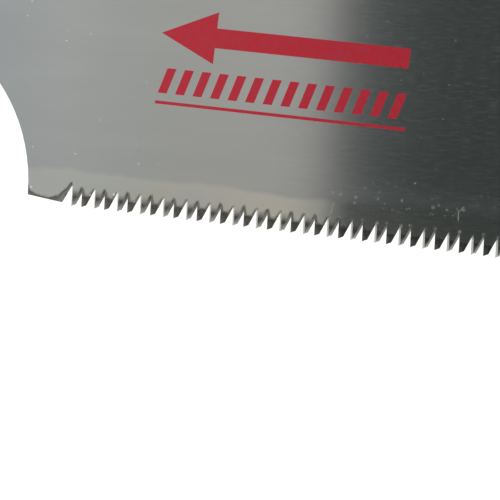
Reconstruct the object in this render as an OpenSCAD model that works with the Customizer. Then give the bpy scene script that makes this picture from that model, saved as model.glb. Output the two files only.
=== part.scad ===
// Pull saw with one toothed edge and a blade that hooks on a pin in the handle's head.
// The saw lies on its side: X runs from the butt to the toe, Y from the teeth to the back, Z is up.
// The origin is at the centre of the space that the saw takes up, on the surface it lies on.

/* [Blade plate] */
// Length of the toothed edge
toothed_length = 265; // [180:5:330]
// Thickness of the plate
blade_t = 0.6; // [0.4:0.05:0.9]
// Angle between the tooth line and the back
taper_deg = 2.8; // [0:0.2:5]
// Radius of the hollow edge between tang and heel
heel_r = 22.4; // [14:0.2:32]
// Straight edge between the hollow and the heel's corner
heel_edge = 0.2; // [0.1:0.1:4]
// Length of the plain land in front of the first tooth
land_length = 4.5; // [2:0.5:12]
// Height of the land's rear end over the tooth line
land_rear_h = 0.82; // [0.5:0.02:1.4]
// Height of the land's front end over the tooth line
land_front_h = 0.35; // [0.3:0.01:0.45]
// Height of the toe's upright edge over the tooth line
toe_edge_h = 40; // [20:1:48]
// Length of back that the slanted toe corner takes away
toe_slant_run = 16; // [8:1:30]
// Radius of the toe's two blunt corners
toe_corner_r = 5; // [1:0.5:7]

/* [Teeth] */
// Distance from one tooth tip to the next
tooth_pitch = 1.5; // [1.3:0.05:2.2]
// Angle between the file's stroke and a line square to the plate
fleam_deg = 24; // [15:1:28]
// Lean of a tooth's front edge
front_deg = 4; // [1:0.5:7]
// Lean of a tooth's back edge
back_deg = 22.3; // [19:0.1:26]
// Angle between a tooth's tip facet and the tooth line
tip_deg = 26.2; // [20:0.2:32]
// Run of the tip facet along the tooth line
tip_run = 0.63; // [0.55:0.01:0.75]
// Distance from the land's end to the first tip
entry_w = 1.3; // [1:0.05:1.8]
// Lean of the first gullet's rear wall
entry_deg = 24.8; // [21:0.2:28]

/* [Tang and hook] */
// Width of the tang
tang_w = 20.6; // [19:0.2:26]
// Distance from the back to the pin's axis
pin_depth = 8; // [7:0.25:9]
// Radius of the hook pin
pin_r = 2; // [1.4:0.1:2.4]
// Running clearance between pin and notch
pin_clearance = 0.05; // [0.02:0.01:0.09]
// Distance from the pin's axis to the end of the tang
nose_reach = 7.5; // [6:0.1:8]
// Distance from the back to the top of the tang's nose
nose_drop = 4; // [3.5:0.1:5]
// Radius of the nose's corners
nose_r = 3; // [2:0.1:3.4]
// Run of the slanted edge under the nose, in front of the pin
nose_run = 2; // [1:0.5:6]

/* [Head] */
// Thickness of the folded sheet
sheet_t = 1; // [0.7:0.05:1.4]
// Gap between the plate and each cheek
cheek_gap = 0.05; // [0.03:0.01:0.15]
// Gap between the plate's back and the fold
back_gap = 0.1; // [0.05:0.05:0.3]
// Length of head that shows in front of the ferrule
head_length = 44; // [38:1:60]
// Gap between the head's front and the start of the hollow heel
head_setback = 3.5; // [2:0.5:10]
// Distance that the head's front edge slants back towards the tooth side
head_slant = 6; // [0:0.5:9]
// Overlap of the cheeks past the tang's lower edge
cheek_lip = 2.2; // [0.5:0.1:3]
// Radius of the cheeks' lower front corner
cheek_corner_r = 6; // [2:0.5:7]
// Distance from the ferrule's front to the pin's axis
pin_setback = 9.5; // [9.5:0.5:14]
// Radius of the pin's round heads
pin_head_r = 3.4; // [2.8:0.1:4]
// Height of the pin's round heads
pin_head_h = 0.8; // [0.5:0.1:1.2]
// Length of the tail inside the handle
tail_length = 74; // [50:1:100]
// Width of the tail
tail_w = 14; // [11:0.5:18]
// Radius of the tail's rear corners
tail_corner_r = 4; // [1:0.5:5]
// Radius of the flush rivets that join the cheeks
rivet_r = 1.6; // [1:0.1:2]
// Distance between the two rivets
rivet_spacing = 14; // [9:1:20]

/* [Handle] */
// Length of the handle from the ferrule's front to the butt
handle_length = 262; // [200:1:300]
// Width of the handle, in line with the plate
handle_w = 35; // [33:0.5:42]
// Thickness of the handle, across the plate
handle_h = 23; // [19:0.5:26]
// Distance from the plate's back to the handle's axis
handle_drop = 14; // [13:0.25:15]
// Length of the front ferrule
ferrule_length = 18; // [12:1:30]
// Wall of the front ferrule
ferrule_t = 1.2; // [0.8:0.1:2]
// Bevel on the rims of ferrule and cap
rim_bevel = 0.8; // [0.4:0.1:1.1]
// Thickness of the wound rattan
wrap_t = 1.2; // [0.8:0.1:1.8]
// Distance that ferrule, bindings and cap stand over the wrap
band_proud = 0.6; // [0.4:0.05:0.8]
// Width of the bindings over the wrap's ends
band_w = 7; // [4:0.5:12]
// Clearance between parts that are seated on each other
seat_gap = 0.1; // [0.05:0.01:0.2]
// Radius of the two cross pins in the core
core_pin_r = 1.5; // [1:0.1:2]
// Distance between the cross pins
core_pin_spacing = 24; // [16:1:30]

/* [Butt] */
// Length of the butt cap
cap_length = 22; // [18:1:34]
// Side wall of the butt cap
cap_t = 1.2; // [0.9:0.1:2]
// End wall of the butt cap
cap_end_t = 2; // [1:0.1:4]
// Distance from the butt's end to the hanging hole's axis
hole_setback = 11; // [9:0.5:14]
// Radius of the hanging hole
hole_r = 3; // [2:0.1:4]
// Wall of the eyelet that lines the hanging hole
eyelet_t = 0.6; // [0.4:0.05:1]
// Width of the eyelet's flared rims
flare_w = 1.4; // [0.8:0.1:1.6]
// Thickness of the eyelet's flared rims
flare_t = 0.5; // [0.3:0.05:0.6]

/* [Hidden] */
$fn = 96;

// Overrun of cuts past the face that they open
cut = 1;
// Angle that one step of a rounded corner turns through
arc_step_deg = 4;

// Teeth. A gullet is one file stroke right through the plate. Strokes lean to either side by turns,
// so every tooth has both its bevels on one side and its point on the other face.
// Sideways drift of a stroke between the middle of the plate and its face
drift = blade_t / 2 * tan(fleam_deg);
front_slope = tan(front_deg);
back_slope = tan(back_deg);
tip_slope = tan(tip_deg);
entry_slope = tan(entry_deg);
// A tip that drifts to the plate's face ends on the tooth line
mid_tip_h = 2 * tip_slope * drift;
facet_end = [tip_run - 2 * drift, tip_slope * tip_run];
gullet_h = (tooth_pitch + front_slope * mid_tip_h - facet_end[0] + back_slope * facet_end[1])
    / (back_slope + front_slope);
entry_h = (entry_w + entry_slope * land_front_h + front_slope * mid_tip_h)
    / (entry_slope + front_slope);
// Depth under the tooth line that the strokes clear
clear_share = 0.3;
clear_h = tooth_pitch * clear_share;
// The tip facet's plane starts this far before the tip, so that it meets the front edge's plane
facet_lead_share = 0.1;
facet_lead = 2 * drift + tooth_pitch * facet_lead_share;
// A stroke reaches past both faces of the plate
stroke_length = 2 * tooth_pitch + 2 * blade_t;
teeth = round(toothed_length / tooth_pitch);
// The toe cuts the last gullet off here, so that no sliver stands behind it
last_gap_share = 0.667;
toe_u = (teeth - 1 + last_gap_share) * tooth_pitch;

// Plate. The corner of the heel fixes where the tooth line lies under the back.
heel_u = -(entry_w + land_length);
heel_w = tang_w + heel_r + heel_edge - heel_u * sin(taper_deg) + land_rear_h * cos(taper_deg);
heel_corner = on_plate(heel_u, land_rear_h);
// The land runs on under the first gullet, which cuts it to length
land_end_u = -entry_w + 2 * drift;
land_end_h = land_front_h + (land_front_h - land_rear_h) * (land_end_u + entry_w) / land_length;
plate_edge_h = -clear_h / 3;
toe_top = on_plate(toe_u, toe_edge_h);

// Head and pin
hollow_start_x = heel_corner[0] - heel_r;
head_front_x = hollow_start_x - head_setback;
ferrule_front_x = head_front_x - head_length;
pin_at = [ferrule_front_x + pin_setback, -pin_depth];
notch_r = pin_r + pin_clearance;
slot_w = blade_t + 2 * cheek_gap;
head_t = slot_w + 2 * sheet_t;
fold_r = head_t / 2;
cheek_bottom = -(tang_w + cheek_lip);
core_front_x = ferrule_front_x - ferrule_t - seat_gap;
tail_rear_x = core_front_x - tail_length;
rivet_x = core_front_x - 3 * rivet_r;
core_pin_x = tail_rear_x + tail_corner_r + 3 * core_pin_r;

// Handle
axis_y = -handle_drop;
butt_x = ferrule_front_x - handle_length;
ferrule_rear_x = ferrule_front_x - ferrule_length;
cap_front_x = butt_x + cap_length;
core_rear_x = butt_x + cap_end_t + seat_gap;
grip_inset = band_proud + wrap_t + seat_gap;
hole_at = [butt_x + hole_setback, axis_y];
eyelet_r = hole_r + eyelet_t;
flare_r = eyelet_r + flare_w;

// Middle of the space that the saw takes up
toe_reach = max([for (p = blade_outline()) p[0]]);
lowest_tip_y = on_plate((teeth - 1) * tooth_pitch - drift, 0)[1];
middle = [(toe_reach + butt_x) / 2, (axis_y + handle_w / 2 + lowest_tip_y) / 2];

// Place of a point given along the tooth line from the first tip, and over it
function on_plate(u, h) = [
    u * cos(taper_deg) + h * sin(taper_deg),
    h * cos(taper_deg) - u * sin(taper_deg) - heel_w
];

function unit(v) = v / norm(v);

// Points of the arc that rounds corner b of the path a, b, c
function corner_arc(a, b, c, r) =
    let (
        u = unit(a - b),
        w = unit(c - b),
        half = acos(u * w) / 2,
        centre = b + unit(u + w) * r / sin(half),
        from = b + u * r / tan(half) - centre,
        side = sign(u[0] * w[1] - u[1] * w[0]),
        sweep = 180 - 2 * half,
        steps = ceil(sweep / arc_step_deg),
        start = atan2(from[1], from[0])
    )
    [for (i = [0:steps]) let (t = start - side * sweep * i / steps) centre + r * [cos(t), sin(t)]];

// Outline through [x, y, radius] points, with each corner rounded by its radius
function rounded(path) =
    let (n = len(path), at = [for (p = path) [p[0], p[1]]])
    [for (i = [0:n - 1])
        each (path[i][2] == 0 ? [at[i]]
            : corner_arc(at[(i + n - 1) % n], at[i], at[(i + 1) % n], path[i][2]))];

function with_r(p, r) = [p[0], p[1], r];

function blade_outline() = rounded([
    with_r(heel_corner, 0),
    with_r(on_plate(land_end_u, land_end_h), 0),
    with_r(on_plate(land_end_u, plate_edge_h), 0),
    with_r(on_plate(toe_u, plate_edge_h), 0),
    with_r(toe_top, toe_corner_r),
    [toe_top[0] - toe_slant_run, 0, toe_corner_r],
    [pin_at[0], 0, 0],
    [pin_at[0], -nose_drop, 0],
    [pin_at[0] - nose_reach, -nose_drop, nose_r],
    [pin_at[0] - nose_reach, -pin_depth - nose_drop, nose_r],
    [pin_at[0] + nose_run, -tang_w, nose_r],
    [heel_corner[0], -tang_w, heel_r]
]);

// Gullet i in the middle of the plate, measured from tip i. Gullet -1 lies between the land and
// the first tooth.
function gullet(i) =
    let (low_u = tooth_pitch + front_slope * (mid_tip_h + clear_h))
    i < 0
        ? [
            [tooth_pitch - entry_w - entry_slope * (land_front_h + clear_h), -clear_h],
            [tooth_pitch - front_slope * (entry_h - mid_tip_h), entry_h],
            [low_u, -clear_h]
        ]
        : [
            [-facet_lead, -clear_h],
            [-facet_lead, mid_tip_h - tip_slope * facet_lead],
            facet_end,
            [tooth_pitch - front_slope * (gullet_h - mid_tip_h), gullet_h],
            [low_u, -clear_h]
        ];

// Every second gullet from the first one given, as file strokes that lean by the angle lean
module file_strokes(first, lean) {
    for (i = [first:2:teeth - 1])
        translate([i * tooth_pitch, 0, 0])
            rotate([0, lean, 0])
                linear_extrude(height = stroke_length, center = true)
                    polygon([for (p = gullet(i)) [p[0] * cos(lean), p[1]]]);
}

module on_tooth_line() {
    translate([0, -heel_w, 0]) rotate([0, 0, -taper_deg]) children();
}

// Oval of the handle, drawn in by inset all round
module oval(inset) {
    flat = handle_w - handle_h;
    for (side = [-1, 1]) translate([side * flat / 2, 0]) circle(r = handle_h / 2 - inset);
    square([flat, handle_h - 2 * inset], center = true);
}

module oval_bar(rear_x, front_x, inset) {
    translate([rear_x, axis_y, 0])
        rotate([90, 0, 90]) linear_extrude(height = front_x - rear_x) oval(inset);
}

// Oval bar whose outer rim at rear_x is bevelled
module bevelled_bar(rear_x, front_x) {
    flat = handle_w - handle_h;
    r = handle_h / 2;
    oval_bar(rear_x + rim_bevel, front_x, 0);
    translate([rear_x, axis_y, 0]) {
        for (side = [-1, 1])
            translate([0, side * flat / 2, 0])
                rotate([0, 90, 0]) cylinder(h = rim_bevel, r1 = r - rim_bevel, r2 = r);
        rotate([90, 0, 0])
            linear_extrude(height = flat, center = true)
                polygon([[0, r - rim_bevel], [rim_bevel, r], [rim_bevel, -r], [0, rim_bevel - r]]);
    }
}

module mirrored_about(x) {
    translate([x, 0, 0]) mirror([1, 0, 0]) translate([-x, 0, 0]) children();
}

module blade() {
    color("#8f928c") difference() {
        difference() {
            linear_extrude(height = blade_t, center = true) polygon(blade_outline());
            on_tooth_line() file_strokes(0, -fleam_deg);
        }
        on_tooth_line() file_strokes(-1, fleam_deg);
        translate([pin_at[0], pin_at[1], 0]) {
            cylinder(h = blade_t + 2 * cut, r = notch_r, center = true);
            translate([-notch_r, 0, -blade_t / 2 - cut])
                cube([2 * notch_r, pin_depth + cut, blade_t + 2 * cut]);
        }
    }
}

module head_outline() {
    polygon(rounded([
        [head_front_x, back_gap + sheet_t + cut, 0],
        [head_front_x, -head_slant, 0],
        [head_front_x - head_slant, cheek_bottom, cheek_corner_r],
        [core_front_x, cheek_bottom, 0],
        [core_front_x, axis_y - tail_w / 2, 0],
        [tail_rear_x, axis_y - tail_w / 2, tail_corner_r],
        [tail_rear_x, axis_y + tail_w / 2, tail_corner_r],
        [core_front_x, axis_y + tail_w / 2, 0],
        [core_front_x, back_gap + sheet_t + cut, 0]
    ]));
}

// Section of the sheet folded round the plate's back, drawn with the fold upwards
module fold_section() {
    top = back_gap + sheet_t;
    difference() {
        union() {
            translate([0, top - fold_r]) circle(r = fold_r);
            translate([-fold_r, cheek_bottom - cut])
                square([head_t, top - fold_r - cheek_bottom + cut]);
        }
        translate([-slot_w / 2, cheek_bottom - 2 * cut])
            square([slot_w, back_gap - cheek_bottom + 2 * cut]);
    }
}

module head_channel() {
    rivets_x = [rivet_x, rivet_x - rivet_spacing];
    pins_x = [core_pin_x, core_pin_x + core_pin_spacing];
    color("#a9adab") difference() {
        intersection() {
            linear_extrude(height = head_t + 2 * cut, center = true) head_outline();
            translate([head_front_x + cut, 0, 0])
                rotate([0, -90, 0])
                    linear_extrude(height = head_front_x - tail_rear_x + 2 * cut) fold_section();
        }
        translate([pin_at[0], pin_at[1], 0])
            cylinder(h = head_t + 2 * cut, r = pin_r + seat_gap, center = true);
        for (x = rivets_x) translate([x, axis_y, 0])
            cylinder(h = head_t + 2 * cut, r = rivet_r + seat_gap, center = true);
        for (x = pins_x) translate([x, axis_y, 0])
            cylinder(h = head_t + 2 * cut, r = core_pin_r + seat_gap, center = true);
    }
}

module hook_pin() {
    // Each head is a cap of a sphere whose base is the head's flat underside
    dome_r = (pin_head_r * pin_head_r + pin_head_h * pin_head_h) / (2 * pin_head_h);
    color("#c3c6c4") translate([pin_at[0], pin_at[1], 0]) {
        cylinder(h = head_t + 2 * seat_gap, r = pin_r, center = true);
        for (side = [0, 1]) mirror([0, 0, side])
            translate([0, 0, head_t / 2 + seat_gap])
                intersection() {
                    translate([0, 0, pin_head_h - dome_r]) sphere(r = dome_r);
                    cylinder(h = pin_head_h + cut, r = pin_head_r + cut);
                }
    }
}

module tail_spacer() {
    color("#7d8080") difference() {
        linear_extrude(height = blade_t, center = true)
            polygon(rounded([
                [core_front_x, axis_y - tail_w / 2, 0],
                [tail_rear_x, axis_y - tail_w / 2, tail_corner_r],
                [tail_rear_x, axis_y + tail_w / 2, tail_corner_r],
                [core_front_x, axis_y + tail_w / 2, 0]
            ]));
        for (x = [rivet_x, rivet_x - rivet_spacing]) translate([x, axis_y, 0])
            cylinder(h = blade_t + 2 * cut, r = rivet_r + seat_gap, center = true);
        for (x = [core_pin_x, core_pin_x + core_pin_spacing]) translate([x, axis_y, 0])
            cylinder(h = blade_t + 2 * cut, r = core_pin_r + seat_gap, center = true);
    }
}

module head_rivets() {
    color("#b4b7b5") for (x = [rivet_x, rivet_x - rivet_spacing]) translate([x, axis_y, 0])
        cylinder(h = head_t, r = rivet_r, center = true);
}

module front_ferrule() {
    color("#b9bcbb") difference() {
        mirrored_about(ferrule_front_x) bevelled_bar(ferrule_front_x, ferrule_front_x + ferrule_length);
        oval_bar(ferrule_rear_x - cut, ferrule_front_x - ferrule_t, ferrule_t);
        translate([ferrule_front_x - 2 * cut, cheek_bottom - seat_gap, -fold_r - seat_gap])
            cube([
                3 * cut,
                back_gap + sheet_t - cheek_bottom + 2 * seat_gap,
                head_t + 2 * seat_gap
            ]);
    }
}

// Whole wooden core, before it is split in the plane of the plate
module core() {
    difference() {
        union() {
            oval_bar(core_rear_x, core_front_x, grip_inset);
            oval_bar(ferrule_rear_x, core_front_x, ferrule_t + seat_gap);
            oval_bar(core_rear_x, cap_front_x, cap_t + seat_gap);
        }
        translate([
            tail_rear_x - seat_gap,
            axis_y - tail_w / 2 - seat_gap,
            -fold_r - seat_gap
        ])
            cube([
                tail_length + seat_gap + cut,
                tail_w + 2 * seat_gap,
                head_t + 2 * seat_gap
            ]);
        for (x = [core_pin_x, core_pin_x + core_pin_spacing]) translate([x, axis_y, 0])
            cylinder(h = handle_h, r = core_pin_r + seat_gap, center = true);
        translate([hole_at[0], hole_at[1], 0])
            cylinder(h = handle_h, r = eyelet_r + seat_gap, center = true);
    }
}

module half_space(side) {
    translate([butt_x, axis_y - handle_w / 2, side > 0 ? 0 : -handle_h])
        cube([handle_length, handle_w, handle_h]);
}

module core_right() {
    color("#d9b98a") intersection() {
        core();
        half_space(1);
    }
}

module core_left() {
    color("#d2b182") intersection() {
        core();
        half_space(-1);
    }
}

module core_pins() {
    color("#a8aaa8") for (x = [core_pin_x, core_pin_x + core_pin_spacing]) translate([x, axis_y, 0])
        cylinder(h = handle_h - 2 * grip_inset, r = core_pin_r, center = true);
}

module rattan_wrap() {
    color("#d8b26a") difference() {
        oval_bar(cap_front_x, ferrule_rear_x, band_proud);
        oval_bar(cap_front_x - cut, ferrule_rear_x + cut, band_proud + wrap_t);
    }
}

module binding(rear_x) {
    difference() {
        oval_bar(rear_x, rear_x + band_w, 0);
        oval_bar(rear_x - cut, rear_x + band_w + cut, band_proud - seat_gap);
    }
}

module front_binding() {
    color("#8a2f24") binding(ferrule_rear_x - band_w);
}

module rear_binding() {
    color("#8a2f24") binding(cap_front_x);
}

module butt_cap() {
    color("#b9bcbb") difference() {
        bevelled_bar(butt_x, cap_front_x);
        oval_bar(butt_x + cap_end_t, cap_front_x + cut, cap_t);
        translate([hole_at[0], hole_at[1], 0]) {
            cylinder(h = handle_h + 2 * cut, r = eyelet_r + seat_gap, center = true);
            for (side = [0, 1]) mirror([0, 0, side])
                translate([0, 0, handle_h / 2 - flare_t - seat_gap])
                    cylinder(h = flare_t + seat_gap + cut, r = flare_r + seat_gap);
        }
    }
}

module hang_eyelet() {
    color("#c9a24a") translate([hole_at[0], hole_at[1], 0]) difference() {
        union() {
            cylinder(h = handle_h, r = eyelet_r, center = true);
            for (side = [0, 1]) mirror([0, 0, side])
                translate([0, 0, handle_h / 2 - flare_t]) cylinder(h = flare_t, r = flare_r);
        }
        cylinder(h = handle_h + 2 * cut, r = hole_r, center = true);
    }
}

module in_place() {
    translate([-middle[0], -middle[1], handle_h / 2]) children();
}

in_place() blade();
in_place() head_channel();
in_place() hook_pin();
in_place() tail_spacer();
in_place() head_rivets();
in_place() front_ferrule();
in_place() core_right();
in_place() core_left();
in_place() core_pins();
in_place() rattan_wrap();
in_place() front_binding();
in_place() rear_binding();
in_place() butt_cap();
in_place() hang_eyelet();
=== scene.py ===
"""Looks of the pull saw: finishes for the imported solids, the wound grip, and a pale studio."""
from __future__ import annotations

import logging
import math
from collections.abc import Iterator, Sequence
from contextlib import contextmanager
from dataclasses import dataclass
from enum import Enum
from typing import Any, Union

import bmesh
import bpy
import numpy as np
from bpy.types import ID, Material, Mesh, Node, NodeSocket, NodeTree, Object
from mathutils import Matrix, Vector


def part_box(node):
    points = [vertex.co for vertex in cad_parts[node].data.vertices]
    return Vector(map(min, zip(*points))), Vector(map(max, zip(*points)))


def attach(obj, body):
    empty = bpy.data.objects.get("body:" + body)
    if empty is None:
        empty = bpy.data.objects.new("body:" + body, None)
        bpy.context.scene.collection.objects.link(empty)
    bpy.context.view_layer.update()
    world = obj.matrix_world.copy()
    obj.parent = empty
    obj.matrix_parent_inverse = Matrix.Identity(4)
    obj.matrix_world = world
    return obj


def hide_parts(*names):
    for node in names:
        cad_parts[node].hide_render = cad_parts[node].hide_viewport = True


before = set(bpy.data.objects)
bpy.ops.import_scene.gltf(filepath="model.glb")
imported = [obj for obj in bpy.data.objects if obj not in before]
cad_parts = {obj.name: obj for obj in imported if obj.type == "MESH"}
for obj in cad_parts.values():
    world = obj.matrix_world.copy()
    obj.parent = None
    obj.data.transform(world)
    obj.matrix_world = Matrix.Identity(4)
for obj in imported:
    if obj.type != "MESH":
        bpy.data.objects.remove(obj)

MM = 0.001
# Range that most of a noise lies in
MOST = (0.3, 0.7)
# Waves a metre of a wave texture whose scale is 1
WAVES = 10 / math.pi
log = logging.getLogger("pull_saw")

Colour = tuple[float, float, float, float]
Feed = Union[Node, NodeSocket]


def linear(code: str) -> Colour:
    """Turn an sRGB hex colour into linear light.

    Args:
        code: colour as "#RRGGBB".

    Returns:
        Red, green and blue as linear shares, and alpha 1.
    """
    shares = np.array([int(code[i:i + 2], 16) for i in (1, 3, 5)]) / 255
    light = np.where(shares <= 0.04045, shares / 12.92, ((shares + 0.055) / 1.055) ** 2.4)
    return (*(float(c) for c in light), 1.0)


def grey(level: float) -> Colour:
    """Linear grey of that level."""
    return (level, level, level, 1.0)


def add(tree: NodeTree, kind: str, inputs: dict | tuple = (), **settings: Any) -> Node:
    """Add one shader node, set it up and feed it.

    Args:
        tree: node tree that gets the node.
        kind: name of the node's type after "ShaderNode".
        inputs: for each input, by name or in order, its value or what feeds it. A node feeds it from
            the node's first output. In order, a MapRange takes its value, the two ends of the range
            that it comes from, and the two of the range that it goes to.
        settings: attributes of the node itself.

    Returns:
        The node.
    """
    made = tree.nodes.new("ShaderNode" + kind)
    for name, value in settings.items():
        setattr(made, name, value)
    for name, value in inputs.items() if isinstance(inputs, dict) else enumerate(inputs):
        if isinstance(value, Node):
            value = value.outputs[0]
        if isinstance(value, NodeSocket):
            tree.links.new(value, made.inputs[name])
        else:
            made.inputs[name].default_value = value
    return made


def follow(tree: NodeTree, measure: Feed, stops: Sequence[tuple[float, float | Colour]],
           span: tuple[float, float] | None = None) -> Node:
    """Level or colour that follows a measure, straight from stop to stop.

    Args:
        tree: node tree that gets the nodes.
        measure: what is followed, such as millimetres along the teeth.
        stops: the measure, and the level or linear colour, of each stop in order.
        span: least and greatest measure that count. Without it they are those of the end stops.

    Returns:
        The colour ramp.
    """
    low, high = span or (stops[0][0], stops[-1][0])
    share = add(tree, "MapRange", (measure, low, high))
    ramp = add(tree, "ValToRGB", (share,))
    elements = ramp.color_ramp.elements
    while len(elements) < len(stops):
        elements.new(1.0)
    for element, (at, colour) in zip(elements, stops):
        element.position = (at - low) / (high - low)
        element.color = colour if isinstance(colour, tuple) else grey(colour)
    return ramp


def grain(tree: NodeTree, place: Feed, size: tuple[float, float, float], detail: float,
          roughness: float = 0.5) -> Node:
    """Grain whose features have a real size along each axis.

    Args:
        tree: node tree that gets the nodes.
        place: coordinates in metres.
        size: size of a feature along x, y and z in metres, infinite where the grain doesn't change.
        detail: number of finer layers.
        roughness: weight of the finer layers.

    Returns:
        The noise.
    """
    scaled = add(tree, "Mapping", {"Vector": place, "Scale": tuple(1 / extent for extent in size)})
    return add(tree, "TexNoise", {"Vector": scaled, "Scale": 1.0, "Detail": detail,
                                  "Roughness": roughness})


def new_material(name: str) -> tuple[Material, NodeTree]:
    """Make an empty node material.

    Args:
        name: name of the finish.

    Returns:
        The material and its node tree.
    """
    material = bpy.data.materials.new(name)
    material.use_nodes = True
    material.node_tree.nodes.clear()
    return material, material.node_tree


def surface(tree: NodeTree, inputs: dict) -> None:
    """Close a material with one Principled surface.

    Args:
        tree: the material's node tree.
        inputs: what goes on the Principled node's sockets.
    """
    add(tree, "OutputMaterial", {"Surface": add(tree, "BsdfPrincipled", inputs)})


@dataclass(frozen=True)
class Place:
    """Where a point of the plate is, as a material's nodes work it out.

    The vector and its u, v and w are the tooth line's own, in millimetres: along it to the toe, up
    the plate, and across it from its middle.
    """

    tree: NodeTree
    vector: Feed
    u: Feed
    v: Feed
    w: Feed


@dataclass(frozen=True)
class ToothLine:
    """Line through the tooth tips: u runs along it to the toe, v up the plate, both in millimetres."""

    start: tuple[float, float, float] = (35.5561 * MM, -17.4562 * MM, 11.5 * MM)
    taper: float = math.radians(2.8)
    half_plate: float = 0.3 * MM

    def point(self, u: np.ndarray, v: np.ndarray, w: np.ndarray) -> np.ndarray:
        """Turn places along the tooth line into the row frame.

        The place is start + u times the line's direction + v times the square to it.

        Args:
            u: millimetres along the line from the first tip.
            v: millimetres above the line.
            w: millimetres above the middle of the plate.

        Returns:
            Points in metres, one a row.
        """
        along = np.array([math.cos(self.taper), -math.sin(self.taper), 0.0])
        across = np.array([math.sin(self.taper), math.cos(self.taper), 0.0])
        flat = np.outer(np.ravel(u), along) + np.outer(np.ravel(v), across)
        flat[:, 2] = np.ravel(w)
        return np.array(self.start) + flat * MM

    def place(self, tree: NodeTree) -> Place:
        """Turn Object coordinates to the tooth line's in a material.

        Args:
            tree: the material's node tree.

        Returns:
            The place.
        """
        here = add(tree, "TexCoord").outputs["Object"]
        vector = add(tree, "Mapping", {"Vector": here, "Location": self.start,
                                       "Rotation": (0.0, 0.0, -self.taper), "Scale": (MM, MM, MM)},
                     vector_type="TEXTURE")
        return Place(tree, vector, *add(tree, "SeparateXYZ", (vector,)).outputs)


TOOTH_LINE = ToothLine()


@dataclass(frozen=True)
class Gullets:
    """One of the two families of gullets, in millimetres on the tooth line.

    A family drifts off its middle across the plate. The dark outline over a gullet, oxide with
    painted shade along the rounded filed edges, slopes down to both sides, each side from its own
    height and with its own lean, and is nowhere over the top.
    The file leaves a pale burr over each gullet, strongest within its core.
    """

    middle: float
    drift: float
    back_lean: float
    back_height: float
    front_lean: float
    front_height: float
    top: float
    pitch: float = 3.0
    burr_core: float = 0.05
    burr_reach: float = 0.34
    burr_strength: float = 0.14

    def off(self, at: Place) -> Node:
        """Distance along the teeth from the middle of the family's nearest gullet.

        Args:
            at: place on the plate.

        Returns:
            The distance, below zero on the heel's side.
        """
        middle = add(at.tree, "Math", (at.w, self.drift, self.middle), operation="MULTIPLY_ADD")
        off = add(at.tree, "Math", (at.u, middle), operation="SUBTRACT")
        return add(at.tree, "Math", (off, self.pitch / 2, -self.pitch / 2), operation="WRAP")

    def outline(self, at: Place) -> Node:
        """Height of the outline's upper edge: the lowest of its two slopes and the top.

        On the heel's side the slope is its height plus the distance over its lean. On the toe's
        side it is its own height less the distance over its own lean.

        Args:
            at: place on the plate.

        Returns:
            The height in millimetres.
        """
        off = self.off(at)
        slopes = [add(at.tree, "Math", (off, 1 / lean, height), operation="MULTIPLY_ADD") for lean, height in
                  ((self.back_lean, self.back_height), (-self.front_lean, self.front_height))]
        roof = add(at.tree, "Math", tuple(slopes), operation="MINIMUM")
        return add(at.tree, "Math", (roof, self.top), operation="MINIMUM")

    def burrs(self, at: Place) -> Node:
        """Draw the pale burrs, round the point over each gullet's middle at the outline's top.

        Args:
            at: place on the plate.

        Returns:
            The mask.
        """
        over = add(at.tree, "Math", (at.v, self.top), operation="SUBTRACT")
        away = add(at.tree, "CombineXYZ", (self.off(at), over))
        reach = add(at.tree, "VectorMath", (away,), operation="LENGTH").outputs["Value"]
        return add(at.tree, "MapRange", (reach, self.burr_core, self.burr_reach, self.burr_strength, 0.0),
                   interpolation_type="SMOOTHSTEP")


GULLETS = (Gullets(1.32, -0.445, 0.41, 3.1, 0.32, 3.2, 2.62),
           Gullets(2.82, 0.445, 0.6, 3.03, 0.1, 2.7, 2.48))


@dataclass(frozen=True)
class Scratch:
    """A fine straight scratch with soft sides, from one u and v to another, in millimetres."""

    start_u: float
    start_v: float
    end_u: float
    end_v: float
    strength: float
    half_width: float = 0.14

    def mask(self, at: Place) -> Node:
        """Draw the scratch on coordinates turned and scaled so that it runs from 0 to 1 on their x.

        Args:
            at: place on the plate.

        Returns:
            The mask.
        """
        run, rise = self.end_u - self.start_u, self.end_v - self.start_v
        along = add(at.tree, "Mapping", {
            "Vector": at.vector, "Location": (self.start_u, self.start_v, 0.0),
            "Rotation": (0.0, 0.0, math.atan2(rise, run)),
            "Scale": (math.hypot(run, rise), self.half_width, 1.0)}, vector_type="TEXTURE")
        x, y, _ = add(at.tree, "SeparateXYZ", (along,)).outputs
        off = add(at.tree, "Math", (y,), operation="ABSOLUTE")
        side = add(at.tree, "MapRange", (off, 0.0, 1.0, self.strength, 0.0),
                   interpolation_type="SMOOTHSTEP")
        between = add(at.tree, "Math", (x, 0.5, 0.5), operation="COMPARE")
        return add(at.tree, "Math", (side, between), operation="MULTIPLY")


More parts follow.
